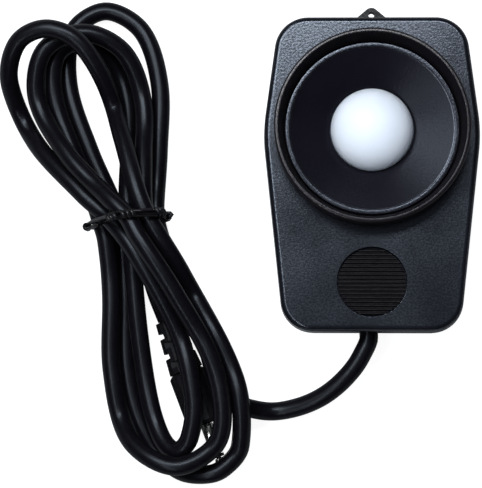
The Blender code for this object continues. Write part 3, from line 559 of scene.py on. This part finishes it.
def vinyl_jacket():
    """Half-gloss cable jacket: long faint waves and a little dust."""
    nodes = Nodes("cable_vinyl")
    dust = nodes.noise(900.0, detail=6.0)
    nodes.colour(dust, (0.0025, 0.0022, 0.0032), (0.0045, 0.004, 0.0055))
    waves = nodes.noise(90.0, detail=2.0)
    nodes.gloss(waves, 0.28, 0.33)
    nodes.set(Specular_IOR_Level=0.15, Specular_Tint=(0.85, 0.92, 1.0, 1))
    return nodes.finish(nodes.bump(waves, 0.05, 0.1 * mm))


def opal_plastic():
    """Milky, faintly blue plastic that scatters light inside."""
    nodes = Nodes("opal_dome")
    cloud = nodes.noise(40.0, detail=2.0)
    nodes.colour(cloud, (0.75, 0.8, 0.98), (0.76, 0.81, 0.985))
    nodes.set(Roughness=0.45, Specular_IOR_Level=0.3)
    nodes.set(Subsurface_Weight=0.9, Subsurface_Scale=16.0 * mm, Subsurface_Radius=(1, 1, 1))
    ripple = nodes.noise(500.0, detail=2.0)
    return nodes.finish(nodes.bump(ripple, 0.05, 0.02 * mm))


def rubber_moulding(name, roughness, gleam):
    """Soft black rubber or coating with a fine even grain."""
    nodes = Nodes(name)
    grain = nodes.noise(1200.0, detail=4.0)
    nodes.colour(grain, (0.0035, 0.0033, 0.004), (0.006, 0.0058, 0.007))
    nodes.gloss(grain, roughness - 0.05, roughness + 0.08)
    nodes.set(Specular_IOR_Level=gleam)
    return nodes.finish(nodes.bump(grain, 0.1, 0.03 * mm))


def plated_metal(name, colour, roughness):
    """Bright metal with small handling marks."""
    nodes = Nodes(name)
    marks = nodes.noise(700.0, detail=5.0)
    nodes.colour(marks, shaded(colour, 0.85), colour)
    nodes.gloss(marks, roughness - 0.05, roughness + 0.08)
    nodes.set(Metallic=1.0)
    return nodes.finish(nodes.bump(marks, 0.05, 0.02 * mm))


def filter_glass():
    nodes = Nodes("filter_glass")
    cloud = nodes.noise(300.0, detail=2.0)
    nodes.colour(cloud, (0.22, 0.42, 0.28), (0.28, 0.5, 0.33))
    nodes.set(Roughness=0.08, Transmission_Weight=0.7)
    return nodes.finish()


def board_laminate():
    nodes = Nodes("board_laminate")
    weave = nodes.noise(1500.0, detail=3.0)
    nodes.colour(weave, (0.02, 0.12, 0.045), (0.035, 0.18, 0.07))
    nodes.set(Roughness=0.35)
    return nodes.finish(nodes.bump(weave, 0.1, 0.03 * mm))


def wire_vinyl(name, colour):
    nodes = Nodes(name)
    cloud = nodes.noise(600.0, detail=2.0)
    nodes.colour(cloud, shaded(colour, 0.85), colour)
    nodes.set(Roughness=0.35)
    return nodes.finish(nodes.bump(cloud, 0.08, 0.03 * mm))


# Shapes


def mesh_of(name, points, faces, sharp=sharp_angle):
    """A smooth mesh whose edges past the sharp angle stay crisp."""
    mesh = bpy.data.meshes.new(name)
    mesh.from_pydata([tuple(each) for each in points], [], faces)
    shape = bmesh.new()
    shape.from_mesh(mesh)
    bmesh.ops.recalc_face_normals(shape, faces=shape.faces)
    shape.to_mesh(mesh)
    shape.free()
    mesh.shade_smooth()
    mesh.set_sharp_from_angle(angle=sharp)
    return mesh


def turned(name, profile, material):
    """A solid turned round Z from a closed profile of (radius, height)."""
    sides = circle_sides
    points, rings, faces = [], [], []
    for radius, height in profile:
        if radius == 0:
            rings.append([len(points)] * sides)
            points.append((0, 0, height))
            continue
        rings.append(list(range(len(points), len(points) + sides)))
        for side in range(sides):
            angle = 2 * pi * side / sides
            points.append((radius * cos(angle), radius * sin(angle), height))
    for ring, after in zip(rings, rings[1:] + rings[:1]):
        for side in range(sides):
            other = (side + 1) % sides
            face = list(dict.fromkeys([ring[side], ring[other], after[other], after[side]]))
            if len(face) > 2:
                faces.append(face)
    return add_object(name, mesh_of(name, points, faces), material)


def corner_arc(before, corner, after, radius, steps):
    """Points round a corner, from the side before it to the side after."""
    back, on = (before - corner).normalized(), (after - corner).normalized()
    half_angle = back.angle(on) / 2
    centre = corner + (back + on).normalized() * radius / sin(half_angle)
    tangent = radius / tan(half_angle)
    start, end = corner + back * tangent - centre, corner + on * tangent - centre
    turn = start.angle(end)
    points = []
    for step in range(steps + 1):
        share = step / steps
        mix = start * sin((1 - share) * turn) + end * sin(share * turn)
        points.append(centre + mix / sin(turn))
    return points


def rounded_profile(corners):
    """A closed (radius, height) profile from corners of (radius, height, rounding)."""
    places = [Vector(corner[:2]) for corner in corners]
    outline = []
    for index, (place, (_, _, rounding)) in enumerate(zip(places, corners)):
        arc = [place]
        if rounding:
            before, after = places[index - 1], places[(index + 1) % len(places)]
            arc = corner_arc(before, place, after, rounding, arc_steps)
        outline += [tuple(each) for each in arc]
    return outline


def case_corners(inset):
    """The plan's six corners, each side moved in by the inset."""
    half = [
        (top_width / 2, case_top),
        (shoulder_width / 2, shoulder_y),
        (bottom_width / 2, case_bottom),
    ]
    corners = [Vector(each) for each in half]
    corners += [Vector((-x, y)) for x, y in reversed(half)]
    moved = []
    for before, corner, after in zip(corners[-1:] + corners, corners, corners[1:] + corners):
        first, second = (corner - before).normalized(), (after - corner).normalized()
        inward = Vector((first.y, -first.x)) + Vector((second.y, -second.x))
        moved.append(corner + inward * inset / (1 + first.dot(second)))
    return moved


def case_outline(inset, height):
    """The case's rounded plan at one height, drawn in by the inset."""
    corners = case_corners(inset)
    rounds = [top_corner_radius, shoulder_radius, bottom_corner_radius]
    rounds += rounds[::-1]
    outline = []
    for index, corner in enumerate(corners):
        before, after = corners[index - 1], corners[(index + 1) % len(corners)]
        outline += corner_arc(before, corner, after, rounds[index] - inset, corner_steps)
    return [(point.x, point.y, height) for point in outline]


def lofted(name, sections, material):
    """A closed solid through outlines of equal count, one above the other."""
    count = len(sections[0])
    points = [point for section in sections for point in section]
    faces = [list(range(count)), list(range(len(points) - count, len(points)))]
    for level in range(len(sections) - 1):
        for index in range(count):
            other = (index + 1) % count
            low, high = level * count, (level + 1) * count
            faces.append([low + index, low + other, high + other, high + index])
    return add_object(name, mesh_of(name, points, faces), material)


def cutter(name, radius, y):
    """A round helper that cuts through the face on the case's middle line."""
    under = face_height - wall
    profile = ((0, under), (radius, under), (radius, rim_height), (0, rim_height))
    made = turned(name, profile, bpy.data.materials.new(name))
    made.location = (0, y, 0)
    made.hide_render = True
    made.hide_viewport = True
    return made


def cut(piece, cutters):
    """Take the helpers' shapes out of the piece."""
    for other in cutters:
        change = piece.modifiers.new(other.name, "BOOLEAN")
        change.operation = "DIFFERENCE"
        change.solver = "EXACT"
        change.object = other


def apply_all(piece):
    """Bake the modifiers, so that helpers can go."""
    graph = bpy.context.evaluated_depsgraph_get()
    baked = bpy.data.meshes.new_from_object(piece.evaluated_get(graph))
    piece.modifiers.clear()
    piece.data = baked


def build_front_case(material):
    """The front shell: a drafted skirt, a rounded edge, and the mouth and thumb pocket."""
    start = face_height - face_edge_radius
    draft = (start - parting_height) * tan(skirt_draft)
    sections = [case_outline(0, parting_height)]
    for step in range(face_edge_steps + 1):
        angle = pi / 2 * step / face_edge_steps
        inset = draft + (1 - cos(angle)) * face_edge_radius
        sections.append(case_outline(inset, start + sin(angle) * face_edge_radius))
    case = lofted("front_case", sections, material)
    helpers = [
        cutter("cut_mouth", spigot_radius + joint_gap, dome_y),
        cutter("cut_thumb", grip_radius + joint_gap, grip_y),
    ]
    cut(case, helpers)
    bevel = case.modifiers.new("Soft edges", "BEVEL")
    bevel.width = mouth_edge
    bevel.segments = mouth_edge_segments
    bevel.limit_method = "ANGLE"
    bevel.angle_limit = mouth_edge_angle
    shading = case.modifiers.new("Even shading", "WEIGHTED_NORMAL")
    shading.keep_sharp = True
    apply_all(case)
    for helper in helpers:
        bpy.data.objects.remove(helper)
    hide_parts("front_shell")
    return case


def build_collar(material):
    inner = collar_radius - collar_rim
    seat = dish_radius + joint_gap
    ledge = dish_floor_height - joint_gap
    corners = (
        (collar_radius, face_height + joint_gap, collar_foot_round),
        (collar_radius, rim_height, collar_outer_round),
        (inner, rim_height, collar_inner_round),
        (seat, dish_rim_height - joint_gap, 0),
        (seat, ledge, 0),
        (spigot_radius - spigot_wall, ledge, 0),
        (spigot_radius - spigot_wall, face_height - collar_height, 0),
        (spigot_radius, face_height - collar_height, 0),
        (spigot_radius, face_height + joint_gap, 0),
    )
    collar = turned("collar", rounded_profile(corners), material)
    collar.location = (0, dome_y, 0)
    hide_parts("collar_ring")
    return collar


def build_dish(material):
    mouth = dish_radius - dish_rim
    hole = dome_radius + joint_gap
    under = dish_floor_height - dish_wall
    corners = (
        (dish_radius, dish_rim_height, dish_bead_round),
        (mouth, dish_rim_height, dish_bead_round),
        (mouth, dish_rim_height - dish_bead_depth, 0),
        (hole + dish_step, dish_floor_height, dish_step_round),
        (hole, dish_floor_height - dish_step_depth, 0),
        (hole, under, 0),
        (mouth, dish_rim_height - dish_wall - dish_bead_depth, 0),
        (mouth, dish_floor_height, 0),
        (dish_radius, dish_floor_height, 0),
    )
    dish = turned("dish", rounded_profile(corners), material)
    dish.location = (0, dome_y, 0)
    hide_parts("sensor_dish")
    return dish


def build_dome(material):
    """The cap and, below the dish, its flange."""
    base = face_height - dome_drop
    angles = [pi / 2 * step / dome_steps for step in range(dome_steps + 1)]
    profile = [(dome_radius * sin(a), base + dome_rise * cos(a)) for a in angles]
    foot = dish_floor_height - dish_wall
    flange = dome_radius + dome_flange
    profile += [(dome_radius, foot - joint_gap), (flange, foot - joint_gap)]
    profile += [(flange, foot - dome_flange_depth), (0, foot - dome_flange_depth)]
    dome = turned("dome", profile, material)
    dome.location = (0, dome_y, 0)
    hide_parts("diffuser_dome")
    return dome


def build_grip(material):
    """The round pad: rows along X with soft ribs, cut to the circle by its own outline."""
    top = face_height - grip_recess
    points, faces = [], []
    span = grip_ribs * grip_rib_pitch
    rows = grip_ribs * grip_rows_per_rib + 1
    for row in range(rows):
        y = -span / 2 + span * row / (rows - 1)
        half = max(grip_radius**2 - y * y, 0) ** 0.5
        share = (row / grip_rows_per_rib) % 1
        rise = (0.5 - abs(share - 0.5)) * grip_rib_slope - grip_groove_share
        z = top - grip_rib_depth * (1 - ease(rise))
        for column in range(grip_columns + 1):
            points.append((half * (2 * column / grip_columns - 1), y, z))
    width = grip_columns + 1
    for row in range(rows - 1):
        for column in range(grip_columns):
            first = row * width + column
            faces.append([first, first + 1, first + width + 1, first + width])
    mesh = mesh_of("grip_pad", points, faces, grip_sharp_angle)
    grip = add_object("grip_pad", mesh, material)
    grip.location = (0, grip_y, 0)
    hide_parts("thumb_grip")
    return grip


def build_cable(route, material):
    """Lead, hank and tail as one tube, with twice the route's points."""
    fine, _ = rounded_path(route, 2 * route_samples)
    cable = tube("cable", fine, cable_radius, material)
    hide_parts("cable_lead", "cable_hank", "cable_tail")
    return cable


def tie_round(route):
    """The taut line round the strands in the waist, and its outward directions."""
    along, across = waist_frame(route)
    near = np.abs(across) < tie_zone
    section = np.column_stack([along[near], route[near, 2]])
    angles = np.linspace(0, 2 * pi, tie_directions)
    normals = np.column_stack([np.cos(angles), np.sin(angles)])
    touch = section[(section @ normals.T).argmax(axis=0)]
    return touch + normals * tie_standoff, normals


def evened(points, count):
    """The same line with its points set evenly along it."""
    length = np.append(0, np.cumsum(np.linalg.norm(np.diff(points, axis=0), axis=1)))
    wanted = np.linspace(0, length[-1], count)
    return np.column_stack(
        [np.interp(wanted, length, points[:, axis]) for axis in range(points.shape[1])]
    )


def tie_place(along, across, height):
    """A point given along and across the tie's line."""
    x = waist_x + along * cos(tie_tilt) - across * sin(tie_tilt)
    y = waist_y + along * sin(tie_tilt) + across * cos(tie_tilt)
    return (x, y, height)


def build_tie(route, material):
    """One coated wire: twisted over the top, once round beneath, and over again."""
    ring_points, normals = tie_round(route)
    half = len(ring_points) // 2
    top = evened(np.column_stack([ring_points[:half], normals[:half]]), tie_points)
    under = evened(np.column_stack([ring_points[half:], normals[half:]]), tie_points)
    edge, level = top[0][0], top[tie_leaf_point][1]
    points = [tie_place(edge + out * mm, side * mm, level) for out, side in tie_leaf]
    for strand in (0, 1):
        for step, (along, height, out_x, out_z) in enumerate(top):
            share = step / (len(top) - 1)
            turn = 2 * pi * tie_turns * share + pi * strand
            swing = tie_twist_radius * ease(min(share, 1 - share) / tie_taper_share)
            lift, across = swing * (1 + cos(turn)), swing * sin(turn)
            points.append(tie_place(along + out_x * lift, across, height + out_z * lift))
        if strand == 0:
            points += [tie_place(along, 0, height) for along, height, _, _ in under[1:-1]]
    tie = tube("tie", points, tie_wire_radius, material, tie_bevel_resolution)
    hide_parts("twist_tie")
    return tie


def build_floor():
    """Paper that the camera sees white, while it casts little light on the object."""
    nodes = Nodes("paper_floor")
    nodes.set(Roughness=0.9, Base_Color=(floor_tone, floor_tone, floor_tone, 1))
    path = nodes.add("ShaderNodeLightPath").outputs
    seen = nodes.maths("MAXIMUM", path["Is Camera Ray"], path["Is Transmission Ray"])
    open_floor = nodes.between(path["Ray Length"], 0, 1, shaded_reach, open_reach)
    mirrored = nodes.maths("MULTIPLY", path["Is Glossy Ray"], open_floor)
    glow = nodes.add("ShaderNodeMath", operation="MULTIPLY")
    nodes.link(nodes.maths("MAXIMUM", seen, mirrored), glow.inputs[0])
    glow.inputs[1].default_value = floor_glow
    nodes.set(Emission_Color=(1, 1, 1, 1))
    nodes.drive("Emission Strength", glow.outputs[0])
    far = floor_reach
    corners = [(-far, -far, 0), (far, -far, 0), (far, far, 0), (-far, far, 0)]
    mesh = bpy.data.meshes.new("floor")
    mesh.from_pydata(corners, [], [(0, 1, 2, 3)])
    mesh.materials.append(nodes.finish())
    floor = bpy.data.objects.new("floor", mesh)
    floor.location = (0, 0, -floor_drop)
    bpy.context.scene.collection.objects.link(floor)


def add_lamp(name, place, target, width, depth, radiance, roll):
    """A rectangular lamp that faces the target, turned about its own aim by the roll."""
    light = bpy.data.lights.new(name, "AREA")
    light.shape = "RECTANGLE"
    light.size, light.size_y = width, depth
    light.energy = 4 * radiance * width * depth
    light.color = lamp_colour
    made = bpy.data.objects.new(name, light)
    made.location = place
    aim = (Vector(target) - Vector(place)).to_track_quat("-Z", "Y")
    made.rotation_euler = (aim @ Quaternion((0, 0, 1), roll)).to_euler()
    bpy.context.scene.collection.objects.link(made)


def light_scene():
    """The sky, whose strength follows the height of the view, and the lamps."""
    world = bpy.data.worlds.new("World")
    world.use_nodes = True
    tree = world.node_tree
    back = tree.nodes["Background"]
    back.inputs["Color"].default_value = (*sky_colour, 1)
    where = tree.nodes.new("ShaderNodeTexCoord")
    split = tree.nodes.new("ShaderNodeSeparateXYZ")
    power = tree.nodes.new("ShaderNodeMath")
    power.operation = "POWER"
    power.inputs[1].default_value = overhead_power
    strength = tree.nodes.new("ShaderNodeMapRange")
    strength.inputs["To Min"].default_value = horizon_strength
    strength.inputs["To Max"].default_value = overhead_strength
    tree.links.new(where.outputs["Generated"], split.inputs["Vector"])
    tree.links.new(split.outputs["Z"], power.inputs[0])
    tree.links.new(power.outputs[0], strength.inputs["Value"])
    tree.links.new(strength.outputs["Result"], back.inputs["Strength"])
    bpy.context.scene.world = world
    for lamp in lamps:
        add_lamp(*lamp)


def dress_nodes(frame, materials):
    """Every CAD node keeps its shape and gets its finished material."""
    slots = {each["node"]: each["material_slot"] for each in frame["record"]["subparts"]}
    for node, piece in frame["nodes"].items():
        material = materials[slots[node]]
        for index in range(len(piece.material_slots)):
            piece.material_slots[index].material = material


def make_materials():
    plastic = {name: moulded_plastic(name, *values) for name, values in plastics.items()}
    dulled(plastic["collar_black"], "height", *collar_dulled)
    dulled(plastic["dish_black"], "radius", *dish_dulled)
    return {
        "case_plastic": plastic["case_black"],
        "rear_plastic": plastic["rear_black"],
        "collar_plastic": plastic["collar_black"],
        "dish_plastic": plastic["dish_black"],
        "grip_plastic": plastic["grip_black"],
        "inner_plastic": plastic["inner_black"],
        "opal_plastic": opal_plastic(),
        "black_rubber": rubber_moulding("rubber_black", 0.45, 0.4),
        "plug_rubber": rubber_moulding("plug_black", 0.5, 0.1),
        "filter_glass": filter_glass(),
        "zinc_steel": plated_metal("zinc_plate", (0.6, 0.6, 0.6), 0.35),
        "plug_metal": plated_metal("nickel_plate", (0.62, 0.6, 0.56), 0.22),
        "board_laminate": board_laminate(),
        "cable_jacket": vinyl_jacket(),
        "wire_insulation": wire_vinyl("wire_red", (0.35, 0.05, 0.04)),
        "plug_insulation": wire_vinyl("plug_ring", (0.02, 0.02, 0.022)),
        "tie_coating": rubber_moulding("tie_black", 0.3, 0.25),
    }


def main():
    for each in list(bpy.data.objects):
        bpy.data.objects.remove(each, do_unlink=True)
    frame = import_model()
    set_up_camera()
    materials = make_materials()
    dress_nodes(frame, materials)
    route = cable_route()
    cable = build_cable(route, materials["cable_jacket"])
    tie = build_tie(route, materials["tie_coating"])
    build_front_case(materials["case_plastic"])
    build_collar(materials["collar_plastic"])
    build_dish(materials["dish_plastic"])
    build_dome(materials["opal_plastic"])
    build_grip(materials["grip_plastic"])
    build_floor()
    light_scene()
    bpy.context.scene.view_settings.view_transform = "Standard"


main()
